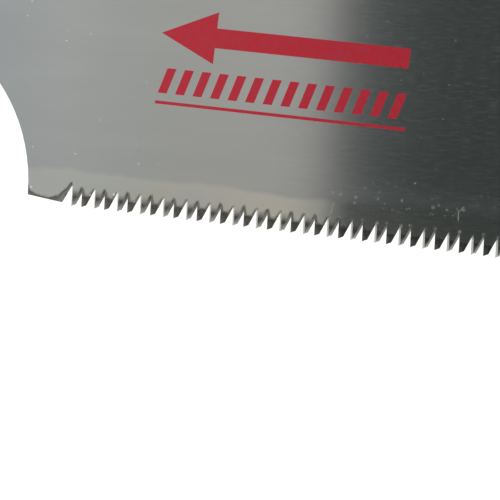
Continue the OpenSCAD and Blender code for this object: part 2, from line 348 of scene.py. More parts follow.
@dataclass(frozen=True)
class Spots:
    """Round marks with soft edges in a share of the cells of a cell pattern, in millimetres.

    Each has its own size, down to the smallest as a share of the largest, and its own strength,
    down to the faintest.
    """

    spacing: float
    largest: float
    share: float
    smallest: float = 0.3
    faintest: float = 0.15

    def mask(self, at: Place) -> Node:
        """Draw the marks.

        Args:
            at: place on the plate.

        Returns:
            The mask.
        """
        cells = add(at.tree, "TexVoronoi", {"Vector": at.vector, "Scale": 1 / self.spacing},
                    voronoi_dimensions="2D")
        size, strength, _ = add(at.tree, "SeparateColor", (cells.outputs["Color"],)).outputs
        most = self.largest / self.spacing
        radius = add(at.tree, "MapRange", (size, 1 - self.share, 1.0, self.smallest * most, most),
                     clamp=False)
        there = add(at.tree, "Math", (size, 1 - self.share), operation="GREATER_THAN")
        inside = add(at.tree, "MapRange", (cells, 0.0, radius, 1.0, 0.0), interpolation_type="SMOOTHSTEP")
        shown = add(at.tree, "MapRange", (strength, 0.0, 1.0, self.faintest, 1.0))
        mark = add(at.tree, "Math", (inside, shown), operation="MULTIPLY")
        return add(at.tree, "Math", (mark, there), operation="MULTIPLY")


@dataclass(frozen=True)
class HardeningOxide:
    """Brown and green-blue oxide that flash hardening leaves on the teeth and on the land.

    Lengths are in millimetres. A tooth that points to this face is dark up to one height. On its
    neighbour the oxide fades out higher up, and near the tip it is worn away. Under the outline of
    the land the share of oxide depends on the depth. Under the outline of the gullets the share of
    dark depends on the depth too: partly oxide, partly painted shade along the rounded filed edges.
    The land's outline has its height as a share of the land unit.
    """

    brown: str = "#5C5350"
    green: str = "#454C47"
    bared: str = "#B6B4AE"
    roughness: float = 0.34
    wander: float = 0.16
    wander_size: float = 1 / 1.1
    near_fade: tuple[float, float] = (1.35, 1.85)
    far_fade: tuple[float, float] = (1.2, 2.35)
    strength: float = 0.95
    worn_fade: tuple[float, float] = (0.3, 1.2)
    tooth_middle: float = 0.57
    first_gullet: float = -0.9
    # Dark under the gullets' outline by depth: partly oxide, partly painted shade of the rounded edges
    gullet_oxide_and_shade_depth: tuple[tuple[float, float], ...] = (
        (-0.2, 0.0), (-0.06, 0.12), (0.12, 0.5), (0.44, 0.68), (1.0, 0.76), (1.4, 0.95))
    land_depth: tuple[tuple[float, float], ...] = (
        (-0.2, 0.0), (0.0, 0.25), (0.18, 0.9), (0.4, 0.8), (0.8, 0.6), (1.8, 0.55))
    depths: tuple[float, float] = (-0.2, 1.8)
    land_unit: float = 4.0
    land: tuple[tuple[float, float], ...] = (
        (-5.84, 0.48), (-5.7, 0.41), (-5.5, 0.335), (-5.0, 0.275), (-4.0, 0.235), (-3.0, 0.21),
        (-2.4, 0.235), (-1.9, 0.3), (-1.5, 0.4), (-1.2, 0.49), (-0.6, 0.69), (-0.3, 0.775),
        (-0.1, 0.75), (0.0, 0.0))
    land_run: tuple[float, float] = (-6.0, 2.0)
    hue_run: tuple[float, float] = (8.0, 42.0)
    hue_change: float = 0.4
    mottle: tuple[float, float] = (0.66, 1.5)
    mottle_size: float = 1 / 4.2
    mottle_span: tuple[float, float] = (0.35, 0.65)

    def far_pointed(self, at: Place) -> Node:
        """Share by which a tooth points to the other face: 1 in its middle, 0 in its neighbour's.

        The share is half of one plus the cosine of the way round the pitch of two teeth, where the
        cosine changes sign from one face to the other.

        Args:
            at: place on the plate.

        Returns:
            The share.
        """
        turn = 2 * math.pi / GULLETS[0].pitch
        way = add(at.tree, "Math", (at.u, turn, -turn * self.tooth_middle), operation="MULTIPLY_ADD")
        wave = add(at.tree, "Math", (way,), operation="COSINE")
        side = add(at.tree, "Math", (at.w, 0.5 * MM / TOOTH_LINE.half_plate), operation="MULTIPLY")
        return add(at.tree, "Math", (wave, side, 0.5), operation="MULTIPLY_ADD", use_clamp=True)

    def masks(self, at: Place) -> tuple[Node, Node, Node]:
        """Spread the oxide over the teeth, the land and the heel's corner.

        Its edges wander up and down a little by a noise.

        Args:
            at: place on the plate.

        Returns:
            The oxide's mask, the mask of the worn tips, and the noise that mixes the hues.
        """
        tree = at.tree
        noise = add(tree, "TexNoise", {"Vector": at.vector, "Scale": 1 / self.wander_size, "Detail": 3.0})
        wander = add(tree, "MapRange", (noise, *MOST, -self.wander, self.wander))
        height = add(tree, "Math", (at.v, wander), operation="ADD")
        edge = add(tree, "Math", tuple(family.outline(at) for family in GULLETS), operation="MAXIMUM")
        depth = add(tree, "Math", (edge, height), operation="SUBTRACT")
        # Dark band under the gullets' outline: partly oxide, partly painted shade along the rounded edges
        gullet_oxide_and_edge_shade = follow(tree, depth, self.gullet_oxide_and_shade_depth, self.depths)
        far = self.far_pointed(at)
        body = add(tree, "MixRGB", (far, *(
            add(tree, "MapRange", (height, *fade, self.strength, 0.0), interpolation_type="SMOOTHSTEP")
            for fade in (self.near_fade, self.far_fade))))
        tooth = add(tree, "Math", (body, gullet_oxide_and_edge_shade), operation="MAXIMUM")
        toothed = add(tree, "Math", (at.u, self.first_gullet), operation="GREATER_THAN")
        on_teeth = add(tree, "Math", (tooth, toothed), operation="MULTIPLY")

        share = follow(tree, at.u, self.land, self.land_run)
        edge = add(tree, "Math", (share, self.land_unit), operation="MULTIPLY")
        depth = add(tree, "Math", (edge, height), operation="SUBTRACT")
        on_land = follow(tree, depth, self.land_depth, self.depths)
        mask = add(tree, "Math", (on_teeth, on_land), operation="MAXIMUM")
        low = add(tree, "MapRange", (height, *self.worn_fade, 1.0, 0.0), interpolation_type="SMOOTHSTEP")
        worn = add(tree, "Math", (low, far), operation="MULTIPLY")
        return mask, add(tree, "Math", (worn, toothed), operation="MULTIPLY"), noise

    def colour(self, at: Place, worn: Feed, noise: Feed) -> Node:
        """Colour the oxide, browner at the heel and greener at the toe, and bare at worn tips.

        Args:
            at: place on the plate.
            worn: mask of the worn tips.
            noise: noise that mixes the hues.

        Returns:
            The colour.
        """
        tree = at.tree
        greener = add(tree, "MapRange", (at.u, *self.hue_run, -self.hue_change, self.hue_change))
        blend = add(tree, "Math", (noise, greener), operation="ADD", use_clamp=True)
        hue = add(tree, "MixRGB", (blend, linear(self.brown), linear(self.green)))
        grains = add(tree, "TexNoise", {"Vector": at.vector, "Scale": 1 / self.mottle_size,
                                        "Detail": 2.0})
        uneven = add(tree, "MapRange", (grains, *self.mottle_span, *self.mottle))
        grained = add(tree, "VectorMath", {0: hue, "Scale": uneven}, operation="SCALE")
        return add(tree, "MixRGB", (worn, grained, linear(self.bared)))


@dataclass(frozen=True)
class FiledWallsLitAndShaded:
    """The filed gullet walls: painted reflection on front bevel walls, painted shade on back ones.

    Each bevel has one colour for each height over the tooth line, in millimetres. The back walls
    also carry some oxide.
    """

    # Front colours: painted reflection. Back colours: painted shade, with some oxide.
    front: tuple[str, ...] = ("#A6A7A3", "#A5A6A1", "#9A9B95")
    back: tuple[str, ...] = ("#8B8C87", "#595A54", "#6A6B65")
    heights: tuple[float, ...] = (0.26, 1.17, 2.21)
    top: float = 2.6
    flat: tuple[float, float] = (0.6, 0.8)

    def colour(self, at: Place, normal: Feed, face: Feed) -> Node:
        """Colour the walls, which lean, so that their normals leave the plate's own.

        Args:
            at: place on the plate.
            normal: the surface's normal.
            face: colour of the plate's faces.

        Returns:
            The colour of walls and faces.
        """
        tree = at.tree
        x, _, z = add(tree, "SeparateXYZ", (normal,)).outputs
        flatness = add(tree, "Math", (z,), operation="ABSOLUTE")
        on_wall = add(tree, "MapRange", (flatness, *self.flat, 1.0, 0.0))
        # Facing along the teeth picks the front colours, painted reflection, or the back ones, painted shade
        behind = add(tree, "Math", (x, 0.0), operation="GREATER_THAN")
        painted_bevel_light_and_shade = [follow(tree, at.v, [*zip(self.heights, map(linear, codes))], (0.0, self.top))
                  for codes in (self.front, self.back)]
        return add(tree, "MixRGB", (on_wall, face, add(tree, "MixRGB", (behind, *painted_bevel_light_and_shade))))


@dataclass(frozen=True)
class Blemishes:
    """Pale dust, scratches, the file's burrs, and the haze and spatter that hardening leaves.

    The share of dust follows the millimetres from the first tip. Haze, spatter and burrs start
    some way along the teeth, and haze and spatter follow the millimetres over them.
    """

    dust: Spots = Spots(2.7, 0.22, 0.36)
    dusty: tuple[tuple[float, float], ...] = (
        (-10.0, 0.85), (7.0, 0.85), (12.0, 0.05), (33.0, 0.05), (37.0, 0.5), (49.0, 0.09), (58.0, 0.09),
        (66.0, 0.4))
    start: tuple[float, float] = (28.0, 36.0)
    spatter: Spots = Spots(0.95, 0.42, 0.5)
    spattered: tuple[tuple[float, float], ...] = ((3.9, 0.0), (5.1, 0.3), (6.3, 0.1), (9.0, 0.0))
    haze: tuple[tuple[float, float], ...] = ((4.5, 0.0), (5.76, 0.022), (6.6, 0.011), (8.1, 0.0))
    heights: tuple[float, float] = (3.0, 9.0)
    burred: tuple[float, float] = (0.1, 1.7)
    burr_run: float = 1 / 0.7
    burr_span: tuple[float, float] = (0.36, 0.66)
    scratches: tuple[Scratch, ...] = (
        Scratch(48.85, 3.95, 48.75, 5.05, 0.24), Scratch(48.75, 5.05, 48.45, 5.5, 0.14),
        Scratch(48.75, 5.05, 49.35, 5.75, 0.2), Scratch(33.1, 3.0, 33.3, 4.4, 0.1),
        Scratch(35.9, 24.1, 36.5, 24.0, 0.3), Scratch(60.9, 21.6, 63.3, 22.1, 0.4),
        Scratch(88.0, 20.0, 97.0, 20.9, 0.35), Scratch(141.0, 33.0, 152.0, 31.9, 0.3),
        Scratch(203.0, 12.0, 209.0, 12.8, 0.4))

    def mask(self, at: Place) -> Node:
        """Join all the marks by their maximum.

        Args:
            at: place on the plate.

        Returns:
            The mask of all that scatters light where the bare plate doesn't.
        """
        tree = at.tree
        started = add(tree, "MapRange", (at.u, *self.start))
        spattered, haze = (follow(tree, at.v, stops, self.heights) for stops in (self.spattered, self.haze))
        scattered = add(tree, "Math", (spattered, started), operation="MULTIPLY")
        unlike = add(tree, "TexNoise", {"W": at.u, "Scale": 1 / self.burr_run, "Detail": 1.0},
                     noise_dimensions="1D")
        burred = add(tree, "MapRange", (unlike, *self.burr_span, *self.burred))
        rough = add(tree, "Math", (started, burred), operation="MULTIPLY")
        marks = [add(tree, "Math", pair, operation="MULTIPLY") for pair in (
            (self.dust.mask(at), follow(tree, at.u, self.dusty)), (self.spatter.mask(at), scattered),
            (haze, started), *((family.burrs(at), rough) for family in GULLETS))]
        total, *rest = marks + [scratch.mask(at) for scratch in self.scratches]
        for mark in rest:
            total = add(tree, "Math", (total, mark), operation="MAXIMUM")
        return total


@dataclass(frozen=True)
class GroundPlate:
    """Carbon steel sheet, ground along its length and hardened at the teeth.

    The grinding drags reflections across the plate and keeps them sharp along it. A paler stripe
    lies over the teeth. Its tone follows the millimetres from the first tip and is partly its own and
    partly painted reflection: brighter and darker steps along the teeth stand in for the stripe
    reflecting another part of the tent. Its upper edge wanders. The real grinding lines lie closer
    than the picture can show, so that lines and dashes are drawn coarser. Sizes of lines, bands and
    dashes are in metres along x, y and z.
    """

    steel: str = "#C4C4C2"
    # Stripe tones: partly the stripe's own paler tone, partly painted reflection
    stripe: tuple[tuple[float, str], ...] = (
        (0.0, "#D0CFCA"), (19.0, "#D4D1C9"), (25.5, "#DBD6CA"), (31.7, "#DDDDD4"), (35.3, "#B1B0AE"),
        (41.5, "#CECAC3"), (54.5, "#C3C4C0"), (74.0, "#D2D1CA"))
    stripe_edge: tuple[float, float] = (4.1, 4.9)
    stripe_wander: float = 0.45
    stripe_wander_size: float = 1 / 0.12
    band_size: tuple[float, float, float] = (20.0 * MM, 3.4 * MM, math.inf)
    band_span: tuple[float, float] = (0.25, 0.75)
    band_tone: tuple[float, float] = (0.97, 1.03)
    line_size: tuple[float, float, float] = (3.0 * MM, 0.34 * MM, math.inf)
    line_height: float = 0.0004 * MM
    line_span: tuple[float, float] = (0.3, 0.75)
    gloss: tuple[float, float] = (0.128, 0.156)
    anisotropy: float = 0.9
    dash_size: tuple[float, float, float] = (1.5 * MM, 0.2 * MM, math.inf)
    dash_span: tuple[float, float] = (0.5, 0.82)
    dash_scatter: float = 0.027
    blemish_scatter: float = 0.75
    dust: str = "#E6E8E4"
    oxide: HardeningOxide = HardeningOxide()
    walls: FiledWallsLitAndShaded = FiledWallsLitAndShaded()
    blemishes: Blemishes = Blemishes()

    def bare(self, at: Place, here: Feed) -> Node:
        """Colour the bare plate and the stripe, with broad bands of grinding over both.

        Args:
            at: place on the plate.
            here: Object coordinates.

        Returns:
            The colour.
        """
        tree = at.tree
        noise = add(tree, "TexNoise", {"Vector": at.vector, "Scale": 1 / self.stripe_wander_size,
                                       "Detail": 2.0})
        wander = add(tree, "MapRange", (noise, *MOST, -self.stripe_wander, self.stripe_wander))
        height = add(tree, "Math", (at.v, wander), operation="ADD")
        striped = add(tree, "MapRange", (height, *self.stripe_edge, 1.0, 0.0),
                      interpolation_type="SMOOTHSTEP")
        # Tone along the teeth: the stripe's own, with painted reflection in its brighter and darker steps
        stripe_tone_and_painted_reflection = follow(tree, at.u, [(u, linear(code)) for u, code in self.stripe])
        colour = add(tree, "MixRGB", (striped, linear(self.steel), stripe_tone_and_painted_reflection))
        bands = grain(tree, here, self.band_size, 3.0)
        tone = add(tree, "MapRange", (bands, *self.band_span, *self.band_tone))
        return add(tree, "VectorMath", {0: colour, "Scale": tone}, operation="SCALE")

    def material(self) -> Material:
        """Build the plate's material.

        Returns:
            The material, drawn on Object coordinates.
        """
        material, tree = new_material("ground_carbon_steel")
        coordinates = add(tree, "TexCoord")
        here = coordinates.outputs["Object"]
        at = TOOTH_LINE.place(tree)
        # The oxide mask also holds painted shade along the gullets' rounded filed edges
        oxide, worn, noise = self.oxide.masks(at)
        face = add(tree, "MixRGB", (oxide, self.bare(at, here), self.oxide.colour(at, worn, noise)))
        # Filed walls get painted reflection and painted shade in place of the face colour
        walls = self.walls.colour(at, coordinates.outputs["Normal"], face)
        blemishes = self.blemishes.mask(at)
        colour = add(tree, "MixRGB", (blemishes, walls, linear(self.dust)))

        # Short dashes in the grinding scatter a little light, which shows where the plate is dark
        dashes = grain(tree, here, self.dash_size, 1.0, 0.4)
        scatter = add(tree, "MapRange", (dashes, *self.dash_span, 0.0, self.dash_scatter))
        clouded = add(tree, "Math", (blemishes, self.blemish_scatter), operation="MULTIPLY")
        scattering = add(tree, "Math", (scatter, clouded), operation="ADD")
        metal = add(tree, "Math", (1.0, scattering), operation="SUBTRACT")

        lines = grain(tree, here, self.line_size, 3.0, 0.6)
        gloss = add(tree, "MapRange", (lines, *self.line_span, *self.gloss))
        dull = add(tree, "MixRGB", (oxide, gloss, grey(self.oxide.roughness)))
        relief = add(tree, "Bump", {"Height": lines, "Strength": 0.5, "Distance": self.line_height})
        pull = add(tree, "VectorTransform", {"Vector": (0.0, 1.0, 0.0)}, vector_type="VECTOR",
                   convert_from="OBJECT", convert_to="WORLD")
        surface(tree, {"Base Color": colour, "Metallic": metal, "Roughness": dull,
                       "Anisotropic": self.anisotropy, "Tangent": pull, "Normal": relief})
        return material


@dataclass(frozen=True)
class PlainSteel:
    """Steel or brass sheet, bar or pressing with a satin or polished face.

    Fine lines along one axis, soft blotches and a little dulling keep it from looking new. The
    lines' size is in millimetres along x, y and z. Lines and blotches together span a range, and
    the roughness lies round its own value by the play.
    """

    name: str
    metal: str
    shade: str
    roughness: float
    lines: tuple[float, float, float] = (8.0, 0.3, 0.3)
    blotch: float = 6.0
    relief: float = 0.002 * MM
    span: tuple[float, float] = (0.6, 1.4)
    play: tuple[float, float] = (-0.06, 0.08)

    def material(self) -> Material:
        """Build the finish's material.

        Returns:
            The material, drawn on Object coordinates.
        """
        material, tree = new_material(self.name)
        place = add(tree, "TexCoord").outputs["Object"]
        fine = grain(tree, place, tuple(size * MM for size in self.lines), 4.0, 0.6)
        blotch = add(tree, "TexNoise", {"Vector": place, "Scale": 1 / (self.blotch * MM), "Detail": 3.0})
        colour = add(tree, "MixRGB", (blotch, linear(self.metal), linear(self.shade)))
        rough = add(tree, "Math", (fine, blotch), operation="ADD")
        gloss = add(tree, "MapRange", (rough, *self.span, *(self.roughness + off for off in self.play)))
        bump = add(tree, "Bump", {"Height": fine, "Strength": 0.5, "Distance": self.relief})
        surface(tree, {"Base Color": colour, "Metallic": 1.0, "Roughness": gloss, "Normal": bump})
        return material


@dataclass(frozen=True)
class PaleTimber:
    """Magnolia, planed and left bare: pale, even and straight-grained along the handle."""

    light: str = "#D8BE92"
    dark: str = "#B5935F"
    stretch: float = 25.0
    ring_spacing: float = 3.2 * math.pi * MM
    pore: float = 0.25 * MM
    roughness: float = 0.6

    def material(self) -> Material:
        """Build the timber's material, with its year rings as bands along the handle.

        Returns:
            The material, drawn on Object coordinates.
        """
        material, tree = new_material("planed_magnolia")
        place = add(tree, "TexCoord").outputs["Object"]
        drawn = add(tree, "Mapping", {"Vector": place, "Scale": (1 / self.stretch, 1.0, 1.0)})
        rings = add(tree, "TexWave", {"Vector": drawn, "Scale": 1 / (self.ring_spacing * WAVES),
                                      "Distortion": 3.0, "Detail": 3.0}, bands_direction="Y")
        pores = add(tree, "TexNoise", {"Vector": drawn, "Scale": 1 / self.pore, "Detail": 3.0})
        both = add(tree, "Math", (rings.outputs["Fac"], pores), operation="MULTIPLY")
        colour = add(tree, "MixRGB", (both, linear(self.light), linear(self.dark)))
        bump = add(tree, "Bump", {"Height": pores, "Strength": 0.4, "Distance": 0.02 * MM})
        surface(tree, {"Base Color": colour, "Roughness": self.roughness, "Normal": bump})
        return material


@dataclass(frozen=True)
class SplitCane:
    """Rattan cane, split and wound with its skin outwards: honey-coloured, glossy, with long fibres.

    The strip is darker towards its edges, where the turns meet.
    """

    skin: str = "#D9B06A"
    fibre: str = "#B4823F"
    pale: str = "#E6CC95"
    joint: str = "#8A5A28"
    edge: str = "#7E5526"
    fibre_size: tuple[float, float, float] = (14 * MM, 0.28 * MM, 1.0)
    tone_size: tuple[float, float, float] = (60 * MM, 6 * MM, 1.0)
    bare_width: float = 1.12 * MM
    full_width: float = 1.5 * MM
    edge_tone: float = 0.85
    fibre_span: tuple[float, float] = (0.42, 0.68)
    pale_span: tuple[float, float] = (0.45, 0.75)
    pale_tone: float = 0.65
    gloss: tuple[float, float] = (0.28, 0.48)

    def material(self) -> Material:
        """Build the cane's material.

        Returns:
            The material, drawn along the strip by the winding's own attributes.
        """
        material, tree = new_material("split_cane")
        strip = add(tree, "Attribute", attribute_name="strip").outputs["Vector"]
        ring = add(tree, "Attribute", attribute_name="joint_ring").outputs["Fac"]
        fibres = grain(tree, strip, self.fibre_size, 4.0, 0.7)
        tone = grain(tree, strip, self.tone_size, 3.0)
        sharper = add(tree, "MapRange", (fibres, *self.fibre_span))
        streaked = add(tree, "MixRGB", (sharper, linear(self.skin), linear(self.fibre)))
        paler = add(tree, "MapRange", (tone, *self.pale_span, 0.0, self.pale_tone))
        toned = add(tree, "MixRGB", (paler, streaked, linear(self.pale)))
        across = add(tree, "SeparateXYZ", (strip,)).outputs["Y"]
        off = add(tree, "Math", (across,), operation="ABSOLUTE")
        edge = add(tree, "MapRange", (off, self.bare_width, self.full_width, 0.0, self.edge_tone),
                   interpolation_type="SMOOTHSTEP")
        edged = add(tree, "MixRGB", (edge, toned, linear(self.edge)))
        colour = add(tree, "MixRGB", (ring, edged, linear(self.joint)))
        gloss = add(tree, "MapRange", (fibres, *MOST, *self.gloss))
        bump = add(tree, "Bump", {"Height": fibres, "Strength": 0.5, "Distance": 0.03 * MM})
        surface(tree, {"Base Color": colour, "Roughness": gloss, "Normal": bump, "Coat Weight": 0.25,
                       "Coat Roughness": 0.2, "IOR": 1.5})
        return material


@dataclass(frozen=True)
class LacqueredThread:
    """Twisted thread under black-brown lacquer: dark and glossy, with the twist just showing."""

    lacquer: str = "#1E1714"
    worn: str = "#4A352A"
    twist: float = 1.8 * MM
    slant: float = math.radians(35)
    wear_size: float = 5 * MM
    wear_span: tuple[float, float] = (0.5, 0.75)
    roughness: float = 0.28

    def material(self) -> Material:
        """Build the thread's material.

        Returns:
            The material, with its twist drawn along the thread by the winding's own attributes.
        """
        material, tree = new_material("lacquered_thread")
        strip = add(tree, "Attribute", attribute_name="strip").outputs["Vector"]
        slanted = add(tree, "Mapping", {"Vector": strip, "Rotation": (0.0, 0.0, self.slant)})
        twist = add(tree, "TexWave", {"Vector": slanted, "Scale": 1 / (self.twist * WAVES),
                                      "Distortion": 0.4}, bands_direction="X")
        wear = add(tree, "TexNoise", {"Vector": strip, "Scale": 1 / self.wear_size, "Detail": 4.0})
        bare = add(tree, "MapRange", (wear, *self.wear_span))
        colour = add(tree, "MixRGB", (bare, linear(self.lacquer), linear(self.worn)))
        bump = add(tree, "Bump", {"Height": twist.outputs["Fac"], "Strength": 0.5,
                                  "Distance": 0.04 * MM})
        surface(tree, {"Base Color": colour, "Roughness": self.roughness, "Coat Weight": 0.6,
                       "Coat Roughness": 0.12, "Normal": bump})
        return material


@dataclass(frozen=True)
class ScreenInk:
    """Red screen ink on steel: half gloss, thin enough to let some of the steel's sheen through."""

    red: str = "#AE2331"
    thin: str = "#A42F3C"
    patch: float = 0.5 * MM
    patch_span: tuple[float, float] = (0.35, 0.7)
    sheen: float = 0.5
    roughness: float = 0.22

    def material(self) -> Material:
        """Build the ink's material.

        Returns:
            The material, drawn on Object coordinates.
        """
        material, tree = new_material("screen_ink")
        place = add(tree, "TexCoord").outputs["Object"]
        patch = add(tree, "TexNoise", {"Vector": place, "Scale": 1 / self.patch, "Detail": 4.0})
        thin = add(tree, "MapRange", (patch, *self.patch_span))
        colour = add(tree, "MixRGB", (thin, linear(self.red), linear(self.thin)))
        bump = add(tree, "Bump", {"Height": patch, "Strength": 0.3, "Distance": 0.003 * MM})
        surface(tree, {"Base Color": colour, "Metallic": self.sheen, "Roughness": self.roughness,
                       "Normal": bump})
        return material


def new_mesh(name: str, points: np.ndarray, faces: Sequence[Sequence[int]]) -> Mesh:
    """Make a mesh.

    Args:
        name: its name.
        points: its points, one a row, in metres.
        faces: point numbers of each face.

    Returns:
        The mesh.
    """
    mesh = bpy.data.meshes.new(name)
    mesh.from_pydata(points.tolist(), [], [list(face) for face in faces])
    return mesh


def put(name: str, data: ID) -> Object:
    """Put a mesh, lamp or camera in the scene, unmoved.

    Args:
        name: name of the new object.
        data: what it shows.

    Returns:
        The object.
    """
    thing = bpy.data.objects.new(name, data)
    bpy.context.scene.collection.objects.link(thing)
    return thing


@contextmanager
def editing(mesh: Mesh) -> Iterator[bmesh.types.BMesh]:
    """Open a mesh for editing, and write it back at the end.

    Args:
        mesh: the mesh.

    Yields:
        What the changes are made on.
    """
    work = bmesh.new()
    work.from_mesh(mesh)
    yield work
    work.to_mesh(mesh)
    work.free()


def skin(rings: np.ndarray, looped: bool = False) -> tuple[np.ndarray, list]:
    """Close a stack of rings into a shell.

    Points are numbered ring by ring. A face joins a point to the next one round its ring and to the
    same two of the next ring. In a looped stack the last ring joins the first. Otherwise one flat
    face fills the first ring, and one fills the last.

    Args:
        rings: points as rings, places round the ring, and x, y, z.
        looped: whether the stack closes on itself.

    Returns:
        Points and faces.
    """
    number = np.arange(rings[..., 0].size).reshape(rings.shape[:2])
    beside = np.roll(number, -1, axis=1)
    faces = np.stack([number, beside, np.roll(beside, -1, axis=0), np.roll(number, -1, axis=0)], axis=-1)
    ends = []
    if not looped:
        faces = faces[:-1]
        ends = [number[0, ::-1], number[-1]]
    return rings.reshape(-1, 3), [*faces.reshape(-1, 4), *ends]


def turned(middle: Sequence[float], profile: np.ndarray, steps: int = 64) -> np.ndarray:
    """Turn a profile about an axis that stands up.

    At each angle a point is the axis plus its distance times the angle's cosine and sine, at its
    height over the middle.

    Args:
        middle: x and y of the axis, and the middle's z.
        profile: distance from the axis and height of each point, in metres.
        steps: places round a ring.

    Returns:
        One ring for each point of the profile.
    """
    angle = np.linspace(0, 2 * math.pi, steps, endpoint=False)[None, :]
    reach, height = profile[:, :1], profile[:, 1:] + middle[2] + 0 * angle
    return np.stack([middle[0] + reach * np.cos(angle), middle[1] + reach * np.sin(angle), height],
                    axis=-1)


def mirrored(half: np.ndarray) -> np.ndarray:
    """A profile from its upper half: the lower one runs back under it."""
    return np.vstack([half, half[::-1] * (1, -1)])


def arc(middle: tuple[float, float], radius: float, start: float, end: float, count: int) -> np.ndarray:
    """Points of an arc: its middle plus the radius times cosine and sine, from one angle to another.

    Args:
        middle: the arc's centre.
        radius: its radius.
        start: first angle in degrees.
        end: last angle in degrees.
        count: number of points.

    Returns:
        The points, one a row.
    """
    angle = np.radians(np.linspace(start, end, count))
    return np.array(middle) + radius * np.stack([np.cos(angle), np.sin(angle)], axis=-1)


def section_middle(low: Vector, high: Vector) -> tuple[float, float]:
    """Y and z halfway between two corners."""
    return (low.y + high.y) / 2, (low.z + high.z) / 2


def dress(material: Material, *nodes: str) -> None:
    """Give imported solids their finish.

    Args:
        material: the material.
        nodes: names of the solids.
    """
    for node in nodes:
        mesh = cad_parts[node].data
        mesh.materials.clear()
        mesh.materials.append(material)
        log.info("dressed %s in %s", node, material.name)


@dataclass(frozen=True)
class Piece:
    """A new piece that stands on the frame: its finish, its body, and what it takes the place of."""

    name: str
    material: Material
    slot: str = ""
    stands_for: tuple[str, ...] = ()
    body: str = "handle"
    smooth: bool = True
    crease: float = math.radians(35)

    def shell(self, points: np.ndarray, faces: list,
              attributes: dict[str, np.ndarray] | None = None) -> Object:
        """Make the piece's mesh, with its faces turned outwards, and show it.

        Args:
            points: the points, one a row, in metres.
            faces: point numbers of each face.
            attributes: values for each point, one number or three, by name.

        Returns:
            The finished object, at the origin and unturned.
        """
        mesh = new_mesh(self.name, points, faces)
        for name, values in (attributes or {}).items():
            kind, key = ("FLOAT_VECTOR", "vector") if values.ndim == 2 else ("FLOAT", "value")
            layer = mesh.attributes.new(name, kind, "POINT")
            layer.data.foreach_set(key, values.astype(np.float32).ravel())
        with editing(mesh) as work:
            bmesh.ops.recalc_face_normals(work, faces=work.faces)
        return self.show(mesh)

    def show(self, mesh: Mesh) -> Object:
        """Dress a mesh, put it in the scene and let it ride.

        Args:
            mesh: the piece's mesh, with its place in it.

        Returns:
            The finished object.
        """
        mesh.polygons.foreach_set("use_smooth", np.full(len(mesh.polygons), self.smooth))
        if self.smooth:
            mesh.set_sharp_from_angle(angle=self.crease)
        mesh.materials.clear()
        mesh.materials.append(self.material)
        mesh.update()
        thing = put(self.name, mesh)
        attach(thing, self.body)
        if self.stands_for:
            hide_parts(*self.stands_for)
        log.info("made %s: %d faces", self.name, len(mesh.polygons))
        return thing


@dataclass(frozen=True)
class Blade:
    """The toothed plate and the plain marks printed on it, in millimetres on the tooth line."""

    arrow_tip: tuple[float, float] = (9.0, 23.2)
    arrow_head: tuple[float, float] = (7.0, 3.3)
    arrow_end: float = 40.5
    arrow_shaft: float = 1.25
    bars: int = 14
    bar_pitch: float = 2.25
    bar_width: float = 1.15
    bar_foot: tuple[float, float] = (9.4, 15.6)
    bar_height: float = 3.2
    bar_slant: float = 0.9
    rule: tuple[float, float, float, float] = (9.2, 41.0, 14.2, 14.6)
    ink_rise: float = 0.012

    def outlines(self) -> list[np.ndarray]:
        """Draw the marks: an arrow the way the saw cuts, and under it slanted bars and a rule.

        Returns:
            The marks' outlines on the tooth line's u and v, each one anticlockwise.
        """
        tip_u, mid_v = self.arrow_tip
        head, half = self.arrow_head
        neck, shaft = tip_u + head, self.arrow_shaft
        arrow = np.array([
            [tip_u, mid_v], [neck, mid_v - half], [neck, mid_v - shaft],
            [self.arrow_end, mid_v - shaft], [self.arrow_end, mid_v + shaft],
            [neck, mid_v + shaft], [neck, mid_v + half]])
        foot_u, foot_v = self.bar_foot
        bar = np.array([[0, 0], [self.bar_width, 0], [self.bar_width + self.bar_slant, self.bar_height],
                        [self.bar_slant, self.bar_height]])
        row = [bar + (foot_u + self.bar_pitch * number, foot_v) for number in range(self.bars)]
        left, right, low, high = self.rule
        rule = np.array([[left, low], [right, low], [right, high], [left, high]])
        return [arrow, *row, rule]

    def marks(self, material: Material) -> None:
        """Print thin closed slabs of ink on the plate's upper face.

        Each outline is a ring under the face and another above it.

        Args:
            material: the ink.
        """
        face = TOOTH_LINE.half_plate / MM
        points, faces, count = [], [], 0
        for outline in self.outlines():
            slab, sides = skin(np.stack([
                TOOTH_LINE.point(outline[:, 0], outline[:, 1], np.full(len(outline), w))
                for w in (face - self.ink_rise, face + self.ink_rise)]))
            points.append(slab)
            faces += [side + count for side in sides]
            count += len(slab)
        Piece("printed_marks", material, body="blade", smooth=False).shell(np.vstack(points), faces)

    def build(self) -> None:
        """Dress the plate and print its marks."""
        dress(GroundPlate().material(), "blade")
        self.marks(ScreenInk().material())


